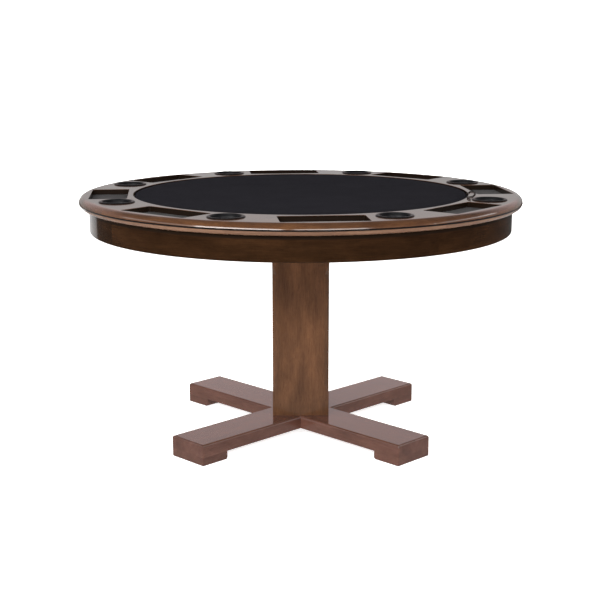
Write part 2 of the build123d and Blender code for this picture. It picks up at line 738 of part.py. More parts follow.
with BuildPart() as cover_staples:
    for staple in range(STAPLES):
        staple_angle = staple * 360.0 / STAPLES
        with BuildSketch(turned_level(hem_bottom, staple_angle)):
            with Locations((STAPLE_RADIUS, 0)):
                Rectangle(STAPLE_WIRE, STAPLE_CROWN)
        extrude(amount=STAPLE_WIRE)
        with BuildSketch(turned_level(hem_bottom, staple_angle)):
            with Locations(
                (STAPLE_RADIUS, (STAPLE_CROWN - STAPLE_WIRE) / 2),
                (STAPLE_RADIUS, -(STAPLE_CROWN - STAPLE_WIRE) / 2),
            ):
                Rectangle(STAPLE_WIRE, STAPLE_WIRE)
        extrude(amount=STAPLE_LEG)
write_piece(cover_staples, "cover_staples")


# ---- pull cord -------------------------------------------------------------------------------


def corner_radii(route):
    """Arc radius at each corner of a cord's route, as large as its two runs allow."""
    points = [Vector(*point) for point in route]
    radii = []
    for before, corner, after in zip(points, points[1:], points[2:]):
        turn = radians((corner - before).get_angle(after - corner))
        shorter_run = min((corner - before).length, (after - corner).length)
        radii.append(CORD_RUN_SHARE * shorter_run / tan(turn / 2))
    return radii


cord_radii = corner_radii(CORD_ROUTE)
cord_start = Vector(*CORD_ROUTE[0])
cord_heading = Vector(*CORD_ROUTE[1]) - cord_start

with BuildPart() as pull_cord:
    with BuildLine() as cord_line:
        FilletPolyline(*CORD_ROUTE, radius=cord_radii)
    with BuildSketch(Plane(origin=cord_start, z_dir=cord_heading)):
        Circle(CORD_DIAMETER / 2)
    sweep(path=cord_line.line)
write_piece(pull_cord, "pull_cord")

cord_length = cord_line.wires()[0].length
cord_section = pi * (CORD_DIAMETER / 2) ** 2
print("pull cord radii:", [round(radius, 1) for radius in cord_radii])
print("pull cord length:", round(cord_length, 1))
print("pull cord volume share:", round(pull_cord.part.volume / (cord_section * cord_length), 4))
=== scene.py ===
import math

import bpy
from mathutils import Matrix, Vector, noise


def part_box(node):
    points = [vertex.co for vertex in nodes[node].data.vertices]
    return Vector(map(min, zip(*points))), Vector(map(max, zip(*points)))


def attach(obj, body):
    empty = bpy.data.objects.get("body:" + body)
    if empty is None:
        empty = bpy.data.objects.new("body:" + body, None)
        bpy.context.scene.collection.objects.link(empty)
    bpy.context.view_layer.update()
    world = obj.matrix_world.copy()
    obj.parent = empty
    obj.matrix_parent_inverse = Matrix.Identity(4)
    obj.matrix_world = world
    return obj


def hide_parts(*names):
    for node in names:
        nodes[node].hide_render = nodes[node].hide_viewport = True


# Looks of the round gaming table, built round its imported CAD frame. Metres, +Z up.

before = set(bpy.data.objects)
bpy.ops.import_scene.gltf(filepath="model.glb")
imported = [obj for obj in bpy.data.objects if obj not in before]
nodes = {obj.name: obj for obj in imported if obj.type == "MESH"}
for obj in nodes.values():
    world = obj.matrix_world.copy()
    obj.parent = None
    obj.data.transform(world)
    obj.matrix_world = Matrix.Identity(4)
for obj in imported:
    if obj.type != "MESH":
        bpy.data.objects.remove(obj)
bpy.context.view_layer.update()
scene = bpy.context.scene

SEATS = 8
SEAT_PITCH = math.tau / SEATS
SEAM_ANGLE = math.radians(-10.1)
TRAY_ANGLE = math.radians(5.9)
QUARTER_SEAM = math.radians(34.9)
BEAM_ANGLES = {"lower_beam": math.radians(45), "upper_beam": math.radians(135)}

# ---- camera ----------------------------------------------------------------------------------

CAMERA_DISTANCE = 3.809
CAMERA_HEIGHT = 1.231
CAMERA_PITCH = 0.2491
CAMERA_LENS = 72.9
CAMERA_SHIFT = (-0.0012, 0.0819)

camera_data = bpy.data.cameras.new("camera")
camera_data.lens = CAMERA_LENS
camera_data.shift_x, camera_data.shift_y = CAMERA_SHIFT
camera = bpy.data.objects.new("camera", camera_data)
camera.location = (0, -CAMERA_DISTANCE, CAMERA_HEIGHT)
camera.rotation_euler = (math.pi / 2 - CAMERA_PITCH, 0, 0)
scene.collection.objects.link(camera)
scene.camera = camera


# ---- small helpers ---------------------------------------------------------------------------

WELD_DISTANCE = 1e-6


def link_mesh(name, points, faces):
    """A new smooth-shaded mesh object from points and faces."""
    mesh = bpy.data.meshes.new(name)
    mesh.from_pydata([tuple(p) for p in points], [], faces)
    mesh.validate()
    mesh.update()
    made = bpy.data.objects.new(name, mesh)
    scene.collection.objects.link(made)
    for polygon in mesh.polygons:
        polygon.use_smooth = True
    return made


def lathe(name, profile, segments, centre=(0.0, 0.0), wobble=None):
    """Turns a profile of (radius, height) points about an upright axis through centre.

    wobble gives how far each point moves outward and upward.
    """
    points, faces = [], []
    rows = len(profile)
    for step in range(segments):
        turn = step * math.tau / segments
        for radius, height in profile:
            outward, upward = wobble(radius, height, turn) if wobble else (0.0, 0.0)
            x = centre[0] + (radius + outward) * math.cos(turn)
            y = centre[1] + (radius + outward) * math.sin(turn)
            points.append((x, y, height + upward))
    for step in range(segments):
        here = step * rows
        there = (step + 1) % segments * rows
        for row in range(rows - 1):
            faces.append((here + row, there + row, there + row + 1, here + row + 1))
    made = link_mesh(name, points, faces)
    weld = made.modifiers.new("weld", "WELD")
    weld.merge_threshold = WELD_DISTANCE
    apply_modifiers(made)
    return made


def apply_modifiers(obj):
    """Bakes an object's modifiers into its mesh."""
    graph = bpy.context.evaluated_depsgraph_get()
    mesh = bpy.data.meshes.new_from_object(obj.evaluated_get(graph))
    obj.modifiers.clear()
    obj.data = mesh


def arc(centre, radius, start, end, steps):
    """Points of an arc in the profile plane, both ends included, angles in degrees."""
    return [
        (
            centre[0] + radius * math.cos(math.radians(start + (end - start) * i / steps)),
            centre[1] + radius * math.sin(math.radians(start + (end - start) * i / steps)),
        )
        for i in range(steps + 1)
    ]


def solidify(obj, thickness):
    """Gives a sheet its thickness, towards its inner side."""
    shell = obj.modifiers.new("thickness", "SOLIDIFY")
    shell.thickness = thickness
    shell.offset = -1
    apply_modifiers(obj)
    for polygon in obj.data.polygons:
        polygon.use_smooth = True


# ---- pull cord -------------------------------------------------------------------------------

CORD_DIAMETER = 0.003
CORD_LIE = 0.7729
CORD_ROUTE = [
    (0.5144, -0.0615, 0.7635),
    (0.5149, -0.0570, 0.7742),
    (0.5184, -0.0475, 0.7731),
    (0.5226, -0.0342, CORD_LIE),
    (0.5258, -0.0216, CORD_LIE),
    (0.5283, -0.0114, CORD_LIE),
    (0.5335, -0.0093, CORD_LIE),
    (0.5383, -0.0123, CORD_LIE),
    (0.5392, -0.0230, CORD_LIE),
    (0.5404, -0.0400, CORD_LIE),
    (0.5386, -0.0610, CORD_LIE),
    (0.5332, -0.0840, CORD_LIE),
    (0.5270, -0.1060, CORD_LIE),
    (0.5224, -0.1260, CORD_LIE),
    (0.5176, -0.1390, CORD_LIE),
    (0.5088, -0.1454, CORD_LIE),
    (0.5018, -0.1534, CORD_LIE),
    (0.4988, -0.1660, CORD_LIE),
    (0.4980, -0.1820, CORD_LIE),
    (0.4992, -0.1980, CORD_LIE),
    (0.5030, -0.2120, CORD_LIE),
]


def make_cord():
    """The pull cord, one smooth curve along its route.

    Its points' radius is the cord's own, and the bevel is a unit circle scaled by it, because
    a curve's box grows by its points' radius.
    """
    curve = bpy.data.curves.new("pull_cord_line", "CURVE")
    curve.dimensions = "3D"
    curve.bevel_depth = 1.0
    curve.bevel_resolution = 6
    curve.resolution_u = 8
    curve.use_fill_caps = True
    spline = curve.splines.new("NURBS")
    spline.points.add(len(CORD_ROUTE) - 1)
    for point, place in zip(spline.points, CORD_ROUTE):
        point.co = (*place, 1.0)
        point.radius = CORD_DIAMETER / 2
    spline.order_u = 3
    spline.use_endpoint_u = True
    made = bpy.data.objects.new("pull_cord_loop", curve)
    scene.collection.objects.link(made)
    return made


pull_cord = make_cord()
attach(pull_cord, "play_panel")
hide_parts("pull_cord")


# ---- shader nodes ----------------------------------------------------------------------------


def add_node(tree, kind, inputs=None, **settings):
    """A shader node with its settings, and its inputs set to values or linked to sockets."""
    made = tree.nodes.new(kind)
    for key, value in settings.items():
        setattr(made, key, value)
    for key, value in (inputs or {}).items():
        if isinstance(value, bpy.types.NodeSocket):
            tree.links.new(value, made.inputs[key])
        else:
            made.inputs[key].default_value = value
    return made


def new_material(name, **constants):
    """A material with one Principled shader and its fixed values: (material, tree, shader)."""
    material = bpy.data.materials.new(name)
    material.use_nodes = True
    tree = material.node_tree
    shader = tree.nodes["Principled BSDF"]
    for key, value in constants.items():
        shader.inputs[key.replace("_", " ")].default_value = value
    return material, tree, shader


def place_of(tree):
    """Place in the table's own frame, in metres."""
    return add_node(tree, "ShaderNodeTexCoord").outputs["Object"]


def scaled(tree, place, scale):
    """A place stretched by a factor for each axis."""
    inputs = {0: place, 1: scale}
    return add_node(tree, "ShaderNodeVectorMath", inputs, operation="MULTIPLY").outputs[0]


def shifted(tree, place, offset):
    """A place moved by an offset."""
    inputs = {0: place, 1: offset}
    return add_node(tree, "ShaderNodeVectorMath", inputs, operation="ADD").outputs[0]


def turned(tree, place, axis, angle):
    """A place turned about an axis."""
    inputs = {"Vector": place, "Angle": angle}
    return add_node(tree, "ShaderNodeVectorRotate", inputs, rotation_type=axis).outputs[0]


def distance_out(tree, parts):
    """How far out from the upright axis a place is, from its separate x, y and z."""
    flat = add_node(tree, "ShaderNodeCombineXYZ", {0: parts[0], 1: parts[1]}).outputs[0]
    length = add_node(tree, "ShaderNodeVectorMath", {0: flat}, operation="LENGTH")
    return length.outputs["Value"]


def maths(tree, operation, first, second=0.0):
    """One sum on numbers or sockets."""
    return add_node(tree, "ShaderNodeMath", {0: first, 1: second}, operation=operation).outputs[0]


def weighed(tree, *pairs):
    """Values added together, each times its share."""
    total = maths(tree, "MULTIPLY", *pairs[0])
    for value, share in pairs[1:]:
        total = maths(tree, "ADD", total, maths(tree, "MULTIPLY", value, share))
    return total


def noise_at(tree, place, scale=1.0, detail=4.0, roughness=0.5, distortion=0.0):
    """Noise from 0 to 1 at a place."""
    inputs = {
        "Vector": place,
        "Scale": scale,
        "Detail": detail,
        "Roughness": roughness,
        "Distortion": distortion,
    }
    return add_node(tree, "ShaderNodeTexNoise", inputs).outputs[0]


def remapped(tree, value, low, high, new_low, new_high):
    """A value moved from one range to another and held inside it."""
    inputs = {0: value, 1: low, 2: high, 3: new_low, 4: new_high}
    return add_node(tree, "ShaderNodeMapRange", inputs).outputs[0]


def ramp(tree, value, stops):
    """Colours along a value: stops are (position, (r, g, b))."""
    made = add_node(tree, "ShaderNodeValToRGB", {0: value})
    elements = made.color_ramp.elements
    elements[0].position, elements[0].color = stops[0][0], (*stops[0][1], 1)
    elements[1].position, elements[1].color = stops[-1][0], (*stops[-1][1], 1)
    for position, colour in stops[1:-1]:
        elements.new(position).color = (*colour, 1)
    return made.outputs[0]


def mixed(tree, share, first, second):
    """Two colours mixed."""
    inputs = {0: share, 6: first, 7: second}
    return add_node(tree, "ShaderNodeMix", inputs, data_type="RGBA").outputs[2]


def bumped(tree, shader, height, distance, strength):
    """Surface relief from a height."""
    inputs = {"Height": height, "Distance": distance, "Strength": strength}
    relief = add_node(tree, "ShaderNodeBump", inputs).outputs[0]
    tree.links.new(relief, shader.inputs["Normal"])


# ---- wood ------------------------------------------------------------------------------------


def grain_straight(angle, offset):
    """Grain along a level direction at that angle."""
    return lambda tree: shifted(tree, turned(tree, place_of(tree), "Z_AXIS", -angle), offset)


def grain_upright(offset):
    """Grain up and down."""
    return lambda tree: shifted(tree, turned(tree, place_of(tree), "Y_AXIS", math.pi / 2), offset)


def grain_round(radius, offset):
    """Grain round the table, with its start on a joint between two quarters."""

    def coordinates(tree):
        from_joint = turned(tree, place_of(tree), "Z_AXIS", -QUARTER_SEAM)
        parts = add_node(tree, "ShaderNodeSeparateXYZ", {0: from_joint}).outputs
        angle = maths(tree, "ARCTAN2", parts[1], parts[0])
        along = maths(tree, "MULTIPLY", angle, radius)
        joined = {0: along, 1: parts[2], 2: distance_out(tree, parts)}
        unrolled = add_node(tree, "ShaderNodeCombineXYZ", joined).outputs[0]
        return shifted(tree, unrolled, offset)

    return coordinates


BEAM_WALNUT = ((0.049, 0.021, 0.015), (0.077, 0.034, 0.024), (0.112, 0.051, 0.037))
COLUMN_WALNUT = ((0.041, 0.018, 0.008), (0.073, 0.033, 0.015), (0.116, 0.053, 0.024))
RIM_WALNUT = ((0.036, 0.015, 0.006), (0.062, 0.026, 0.011), (0.102, 0.045, 0.018))
UNDER_RIM_WALNUT = ((0.080, 0.042, 0.026), (0.128, 0.070, 0.043), (0.180, 0.102, 0.064))
APRON_WALNUT = ((0.008, 0.0036, 0.0015), (0.018, 0.0080, 0.0032), (0.034, 0.0150, 0.0060))
PALE_TIMBER = ((0.36, 0.22, 0.11), (0.50, 0.34, 0.19), (0.62, 0.46, 0.29))
PLYWOOD = ((0.40, 0.26, 0.14), (0.52, 0.37, 0.22), (0.60, 0.46, 0.30))
# Colour of the darker tray walls, and of the painted shade and painted shadow bands on the under
# rim and apron.
DARKER_TRAYS_AND_PAINTED_SHADE = (0.010, 0.0058, 0.0034, 1.0)
GRAIN_DEPTH = 0.0001
GRAIN_STRENGTH = 0.12

# Darker stretches: how far out from the middle they go, their lowest and highest point. Inside
# the tray windows the walls are coloured darker; along the under rim's shoulder below the quirk
# the dark colour is painted shade, and on the apron's top it is a painted shadow of the rim's
# overhang.
RING_FOOT, RING_TOP = (corner.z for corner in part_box("ring_segment_0"))
UNDER_RIM_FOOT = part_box("under_rim_0")[0].z
TRAY_RECESS = (0.664, RING_FOOT - 0.054, RING_TOP - 0.0012)
# Painted shade: the under rim's shoulder, just below the quirk groove, coloured dark.
QUIRK_PAINTED_SHADE = (0.7, RING_FOOT - 0.005, RING_FOOT + 0.006)
# Painted shadow: the apron coloured dark from 13 mm below the under rim's foot upward, where the
# rim's overhang shades it.
APRON_PAINTED_SHADOW = (0.7, UNDER_RIM_FOOT - 0.013, UNDER_RIM_FOOT + 0.01)


def inside_recess(tree, radius, bottom, top):
    """1 on faces nearer the middle than radius and between two heights, and 0 elsewhere."""
    parts = add_node(tree, "ShaderNodeSeparateXYZ", {0: place_of(tree)}).outputs
    near = maths(tree, "LESS_THAN", distance_out(tree, parts), radius)
    low = maths(tree, "LESS_THAN", parts[2], top)
    high = maths(tree, "GREATER_THAN", parts[2], bottom)
    return maths(tree, "MULTIPLY", near, maths(tree, "MULTIPLY", low, high))


def wood(name, coordinates, colours, roughness, dark_band=None, specular=0.5):
    """Wood with a soft mottle, broad growth lines, fibre and open pores."""
    material, tree, shader = new_material(name, Specular_IOR_Level=specular)
    grain = coordinates(tree)
    mottle = noise_at(tree, scaled(tree, grain, (9, 26, 26)), 1.0, 5.0, 0.6, 0.5)
    broad = noise_at(tree, scaled(tree, grain, (1.6, 13, 13)), 1.0, 4.0, 0.55, 0.6)
    fibre = noise_at(tree, scaled(tree, grain, (22, 420, 420)), 1.0, 4.0, 0.65)
    pores = noise_at(tree, scaled(tree, grain, (70, 1500, 1500)), 1.0, 2.0, 0.5)
    pore_mask = remapped(tree, pores, 0.30, 0.42, 1.0, 0.0)
    tone = weighed(tree, (mottle, 0.40), (broad, 0.35), (fibre, 0.25))
    dark, middle, light = colours
    colour = ramp(tree, tone, [(0.34, dark), (0.50, middle), (0.66, light)])
    pore_colour = (*[0.4 * c for c in dark], 1.0)
    colour = mixed(tree, maths(tree, "MULTIPLY", pore_mask, 0.5), colour, pore_colour)
    # The band argument darkens one band: the tray walls of the ring, painted shade on the under
    # rim's shoulder, a painted shadow on the apron's top.
    if dark_band:
        colour = mixed(tree, inside_recess(tree, *dark_band), colour, DARKER_TRAYS_AND_PAINTED_SHADE)
    tree.links.new(colour, shader.inputs["Base Color"])
    smears = noise_at(tree, scaled(tree, grain, (9, 22, 22)), 1.0, 3.0)
    rough = remapped(tree, smears, 0.3, 0.7, roughness * 0.8, roughness * 1.35)
    tree.links.new(rough, shader.inputs["Roughness"])
    relief = maths(tree, "MULTIPLY", fibre, 0.35)
    relief = maths(tree, "SUBTRACT", relief, maths(tree, "MULTIPLY", pore_mask, 0.8))
    bumped(tree, shader, relief, GRAIN_DEPTH, GRAIN_STRENGTH)
    return material


# ---- other materials -------------------------------------------------------------------------


def play_cloth():
    """Close-woven black cloth: two crossed sets of yarns, fuzz and a faint sheen."""
    material, tree, shader = new_material(
        "play_cloth",
        Roughness=0.95,
        Sheen_Weight=0.012,
        Sheen_Roughness=0.5,
        Sheen_Tint=(0.8, 0.8, 1.0, 1.0),
        Specular_IOR_Level=0.0,
    )
    place = place_of(tree)
    yarns = []
    for direction in ("X", "Y"):
        wave = {"Vector": place, "Scale": 210.0, "Distortion": 1.2, "Detail": 1.0}
        yarn = add_node(tree, "ShaderNodeTexWave", wave, bands_direction=direction)
        yarns.append(yarn.outputs[1])
    weave = maths(tree, "MULTIPLY", yarns[0], yarns[1])
    fuzz = noise_at(tree, place, 900.0, 3.0, 0.6)
    patches = noise_at(tree, place, 9.0, 4.0, 0.6)
    tone = weighed(tree, (fuzz, 0.5), (weave, 0.3), (patches, 0.35))
    dark, middle, light = (0.006, 0.006, 0.007), (0.011, 0.011, 0.0125), (0.018, 0.0178, 0.020)
    colour = ramp(tree, tone, [(0.25, dark), (0.55, middle), (0.85, light)])
    tree.links.new(colour, shader.inputs["Base Color"])
    height = maths(tree, "ADD", weave, maths(tree, "MULTIPLY", fuzz, 0.7))
    bumped(tree, shader, height, 0.0004, 0.6)
    return material


def tray_flock():
    """Short charcoal flock on the tray floors."""
    material, tree, shader = new_material(
        "tray_flock",
        Roughness=0.9,
        Sheen_Weight=0.06,
        Sheen_Roughness=0.4,
        Sheen_Tint=(0.8, 0.8, 0.8, 1.0),
        Specular_IOR_Level=0.1,
    )
    place = place_of(tree)
    pile = noise_at(tree, place, 1400.0, 2.0, 0.6)
    brushed = noise_at(tree, place, 30.0, 4.0, 0.6)
    tone = weighed(tree, (pile, 0.5), (brushed, 0.5))
    colour = ramp(tree, tone, [(0.3, (0.013, 0.013, 0.013)), (0.7, (0.034, 0.034, 0.034))])
    tree.links.new(colour, shader.inputs["Base Color"])
    bumped(tree, shader, pile, 0.0004, 0.5)
    return material


def cup_plastic():
    """Black moulded plastic with a soft gloss and fine handling marks."""
    material, tree, shader = new_material("cup_plastic", Specular_IOR_Level=0.06)
    place = place_of(tree)
    marks = noise_at(tree, scaled(tree, place, (60, 60, 260)), 1.0, 4.0, 0.6)
    colour = ramp(tree, marks, [(0.3, (0.004, 0.0045, 0.005)), (0.7, (0.008, 0.0085, 0.0095))])
    tree.links.new(colour, shader.inputs["Base Color"])
    tree.links.new(remapped(tree, marks, 0.3, 0.7, 0.26, 0.38), shader.inputs["Roughness"])
    bumped(tree, shader, noise_at(tree, place, 700.0, 2.0), 0.00006, 0.4)
    return material


def matt_plastic():
    """Black moulded glides, scuffed underneath."""
    material, tree, shader = new_material("glide_plastic")
    place = place_of(tree)
    scuffs = noise_at(tree, scaled(tree, place, (400, 90, 90)), 1.0, 4.0, 0.7)
    colour = ramp(tree, scuffs, [(0.35, (0.015, 0.015, 0.015)), (0.75, (0.06, 0.058, 0.055))])
    tree.links.new(colour, shader.inputs["Base Color"])
    tree.links.new(remapped(tree, scuffs, 0.3, 0.8, 0.45, 0.7), shader.inputs["Roughness"])
    bumped(tree, shader, scuffs, 0.0001, 0.4)
    return material


def metal(name, colours, roughness):
    """Plated or turned metal with fine turning marks and a patchy plating tone."""
    material, tree, shader = new_material(name, Metallic=1.0)
    place = place_of(tree)
    turning = noise_at(tree, scaled(tree, place, (80, 80, 2600)), 1.0, 2.0)
    patches = noise_at(tree, place, 160.0, 4.0, 0.6)
    plating = ramp(tree, patches, [(0.3, colours[0]), (0.7, colours[1])])
    tree.links.new(plating, shader.inputs["Base Color"])
    rough = remapped(tree, patches, 0.3, 0.7, roughness * 0.8, roughness * 1.3)
    tree.links.new(rough, shader.inputs["Roughness"])
    bumped(tree, shader, turning, 0.00005, 0.4)
    return material


def braided_nylon():
    """Round black cord, its braid two crossed helices of yarn."""
    material, tree, shader = new_material(
        "braided_nylon", Roughness=0.6, Specular_IOR_Level=0.05
    )
    place = place_of(tree)
    strands = []
    for angle in (0.6, -0.6):
        across = turned(tree, place, "Z_AXIS", angle)
        wave = {"Vector": across, "Scale": 260.0, "Distortion": 0.4}
        strands.append(add_node(tree, "ShaderNodeTexWave", wave, bands_direction="Y").outputs[1])
    braid = maths(tree, "MAXIMUM", strands[0], strands[1])
    colour = ramp(tree, braid, [(0.2, (0.002, 0.002, 0.002)), (0.9, (0.010, 0.010, 0.011))])
    tree.links.new(colour, shader.inputs["Base Color"])
    bumped(tree, shader, braid, 0.0003, 0.8)
    return material


def foam():
    """Grey closed-cell foam."""
    material, tree, shader = new_material("foam", Roughness=0.95)
    place = place_of(tree)
    cells = add_node(tree, "ShaderNodeTexVoronoi", {"Vector": place, "Scale": 900.0}).outputs[0]
    colour = ramp(tree, cells, [(0.1, (0.10, 0.10, 0.10)), (0.8, (0.22, 0.22, 0.22))])
    tree.links.new(colour, shader.inputs["Base Color"])
    bumped(tree, shader, cells, 0.0004, 0.6)
    return material


# ---- materials on the CAD nodes --------------------------------------------------------------


def paint(node, material):
    """Gives a CAD node one material."""
    slots = nodes[node].data.materials
    slots.clear()
    slots.append(material)


LACQUER = 0.10


def lacquered(name, grain, colours, specular, dark_band=None):
    """Walnut under clear lacquer."""
    return wood(name, grain, colours, LACQUER, dark_band=dark_band, specular=specular)


for beam, angle in BEAM_ANGLES.items():
    grain = grain_straight(angle, (0.0, 0.31, 0.0))
    paint(beam, lacquered(f"{beam}_walnut", grain, BEAM_WALNUT, 0.5))
for foot in range(4):
    angle = math.radians(45 + 90 * foot)
    grain = grain_straight(angle, (0.37 * foot, 0.11, 0.05))
    paint(f"foot_block_{foot}", lacquered(f"foot_{foot}_walnut", grain, BEAM_WALNUT, 0.5))
for count, side in enumerate(("front", "right", "back", "left")):
    grain = grain_upright((0.4 * count, 0.17 * count, 0.3))
    paint(f"column_board_{side}", lacquered(f"column_{side}_walnut", grain, COLUMN_WALNUT, 0.4))
for seat in range(SEATS):
    angle = SEAM_ANGLE + (seat + 0.5) * SEAT_PITCH + math.pi / 2
    grain = grain_straight(angle, (0.7 * seat, 0.23 * seat, 0.1))
    material = lacquered(f"ring_{seat}_walnut", grain, RIM_WALNUT, 0.3, TRAY_RECESS)
    paint(f"ring_segment_{seat}", material)
# The under rim gets a band of painted shade along its shoulder, and the apron a band of painted
# shadow under the rim's overhang.
for quarter in range(4):
    grain = grain_round(0.68, (0.0, 0.4 * quarter, 0.0))
    name = f"under_rim_{quarter}_walnut"
    paint(f"under_rim_{quarter}", lacquered(name, grain, UNDER_RIM_WALNUT, 0.3, QUIRK_PAINTED_SHADE))
    grain = grain_round(0.656, (0.0, 0.3 * quarter, 0.2))
    name = f"apron_{quarter}_walnut"
    paint(f"apron_{quarter}", lacquered(name, grain, APRON_WALNUT, 0.08, APRON_PAINTED_SHADOW))

pale_upright = wood("pale_timber_upright", grain_upright((0, 0, 0)), PALE_TIMBER, 0.6)
pale_along_x = wood("pale_timber_x", grain_straight(0, (0, 0, 0)), PALE_TIMBER, 0.6)
pale_along_y = wood("pale_timber_y", grain_straight(math.pi / 2, (0, 0, 0)), PALE_TIMBER, 0.6)
plywood = wood("birch_plywood", grain_straight(0, (0, 0.5, 0)), PLYWOOD, 0.55)
zinc = metal("zinc_plate", ((0.48, 0.49, 0.50), (0.66, 0.66, 0.67)), 0.32)
brass = metal("turned_brass", ((0.60, 0.42, 0.16), (0.76, 0.56, 0.24)), 0.28)

for node, material in {
    "column_glue_strips": pale_upright,
    "column_foot_plug": pale_along_x,
    "column_head_plug": pale_along_x,
    "top_batten_x": pale_along_x,
    "top_batten_y": pale_along_y,
    "ring_splines": pale_along_x,
    "apron_blocks": pale_upright,
    "head_plate": plywood,
    "deck_panel": plywood,
    "play_board": plywood,
    "threaded_inserts": brass,
    "base_washers": zinc,
    "base_bolts": zinc,
    "foot_screws": zinc,
    "plug_screws": zinc,
    "plate_screws": zinc,
    "batten_screws": zinc,
    "ring_screws": zinc,
    "cover_staples": zinc,
    "foot_glides": matt_plastic(),
}.items():
    paint(node, material)

pull_cord.data.materials.append(braided_nylon())


# ---- play cloth and foam ---------------------------------------------------------------------

cover_low, cover_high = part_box("felt_cover")
foam_low, foam_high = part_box("foam_pad")
board_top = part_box("play_board")[1].z
PANEL_RADIUS = (cover_high.x - cover_low.x) / 2
COVER_THICKNESS = cover_high.z - foam_high.z
COVER_EDGE = 0.004
CROWN_RADIUS = 0.105
HEM_INNER_RADIUS = 0.488
CLOTH_SEGMENTS = 480
PUCKER_REACH = 0.03
PUCKER_PULL = 0.00035
PUCKER_SINK = 0.00025
SLACK = 0.00012
COVER_CLEARANCE = 0.00015
edge_centre = PANEL_RADIUS - COVER_EDGE
crown_height = cover_high.z - CROWN_RADIUS
crown_rise = board_top - crown_height
crown_reach = math.sqrt((CROWN_RADIUS - COVER_EDGE) ** 2 - crown_rise**2)
crown_start = edge_centre - crown_reach
crown_angle = math.degrees(math.atan2(crown_rise, crown_reach))


def crown_profile(inset):
    """Upper face of the panel from its middle to its side, that far inside the CAD's face."""
    flat = [(crown_start * (i / 40) ** 0.8, cover_high.z - inset) for i in range(40)]
    crown = arc((crown_start, crown_height), CROWN_RADIUS - inset, 90, crown_angle, 12)
    roll = arc((edge_centre, board_top), COVER_EDGE - inset, crown_angle, 0, 8)
    return flat + crown + roll[1:]


def cloth_wobble(radius, height, turn):
    """Slack over the flat, and small puckers towards the rolled edge. The hem stays flat."""
    if height < cover_low.z + 0.002:
        return 0.0, 0.0
    way = Vector((radius * math.cos(turn), radius * math.sin(turn), 0.0))
    edge = max(0.0, min(1.0, (radius - (PANEL_RADIUS - PUCKER_REACH)) / PUCKER_REACH))
    pull = noise.noise(Vector((22 * math.cos(turn), 22 * math.sin(turn), 3.0)))
    ripple = noise.noise(way * 14) * SLACK * (1 - edge)
    outward = -PUCKER_PULL * edge * edge * (0.5 + 0.5 * pull)
    upward = -PUCKER_SINK * edge * (0.5 + 0.5 * pull) + ripple - COVER_CLEARANCE
    return outward, upward


def make_cover():
    """The cloth: over the foam, round the edge and back under the board as a hem."""
    drop = board_top - cover_low.z
    side = [(PANEL_RADIUS, cover_low.z + drop * share) for share in (0.66, 0.33, 0.08)]
    fold = [(PANEL_RADIUS - 0.0004, cover_low.z + 0.0003), (PANEL_RADIUS - 0.0014, cover_low.z)]
    hem = [(PANEL_RADIUS - 0.010, cover_low.z), (HEM_INNER_RADIUS, cover_low.z)]
    profile = crown_profile(0) + side + fold + hem
    made = lathe("play_cloth_cover", profile[::-1], CLOTH_SEGMENTS, wobble=cloth_wobble)
    solidify(made, COVER_THICKNESS * 0.85)
    return made


def make_foam():
    """The foam under the cloth, its upper face crowned like the cloth's."""
    inset = COVER_THICKNESS + 0.0004
    profile = crown_profile(inset) + [(0.3, foam_low.z), (0.0, foam_low.z)]
    return lathe("foam_sheet", profile[::-1], CLOTH_SEGMENTS // 2)


play_cover = make_cover()
play_cover.data.materials.append(play_cloth())
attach(play_cover, "play_panel")
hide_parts("felt_cover")

foam_sheet = make_foam()
foam_sheet.data.materials.append(foam())
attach(foam_sheet, "play_panel")
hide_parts("foam_pad")


# ---- tray liners -----------------------------------------------------------------------------

liner_low, liner_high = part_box("tray_liners")
LINER_WIDTH = 0.1132
LINER_LENGTH = 0.2412
LINER_MIDDLE = 0.593
LINER_CORNER = 0.006
LINER_FACE = liner_high.z
LINER_THICKNESS = liner_high.z - liner_low.z


def steps_across(half, corner, inner_steps, corner_steps):
    """Grid lines from one side to the other, closer together in the corners."""
    ends = [half - corner + corner * i / corner_steps for i in range(1, corner_steps + 1)]
    inner = [(half - corner) * (2 * i / inner_steps - 1) for i in range(inner_steps + 1)]
    return [-e for e in reversed(ends)] + inner + ends


def make_liner(seat):
    """One tray's floor cloth, glued flat, with round corners and a slightly rubbed face."""
    angle = TRAY_ANGLE + seat * SEAT_PITCH
    out = Vector((math.cos(angle), math.sin(angle), 0))
    along = Vector((-math.sin(angle), math.cos(angle), 0))
    middle = LINER_MIDDLE * out
    half_x = LINER_WIDTH / 2
    half_y = LINER_LENGTH / 2
    xs = steps_across(half_x, LINER_CORNER, 26, 4)
    ys = steps_across(half_y, LINER_CORNER, 56, 4)
    points, faces = [], []
    for x in xs:
        for y in ys:
            corner_x = (abs(x) - (half_x - LINER_CORNER)) / LINER_CORNER
            corner_y = (abs(y) - (half_y - LINER_CORNER)) / LINER_CORNER
            place_x, place_y = x, y
            if corner_x > 0 and corner_y > 0:
                round_x = corner_x * math.sqrt(1 - corner_y**2 / 2)
                round_y = corner_y * math.sqrt(1 - corner_x**2 / 2)
                place_x = math.copysign(half_x - LINER_CORNER + LINER_CORNER * round_x, x)
                place_y = math.copysign(half_y - LINER_CORNER + LINER_CORNER * round_y, y)
            rub = noise.noise(Vector((place_x * 30, place_y * 30, seat * 5.0)))
            height = LINER_FACE - 0.0002 + 0.00012 * rub
            points.append(middle + place_x * out + place_y * along + Vector((0, 0, height)))
    count = len(ys)
    for i in range(len(xs) - 1):
        for j in range(count - 1):
            corner = i * count + j
            faces.append((corner, corner + count, corner + count + 1, corner + 1))
    made = link_mesh(f"tray_liner_{seat}", points, faces)
    solidify(made, LINER_THICKNESS * 0.7)
    return made


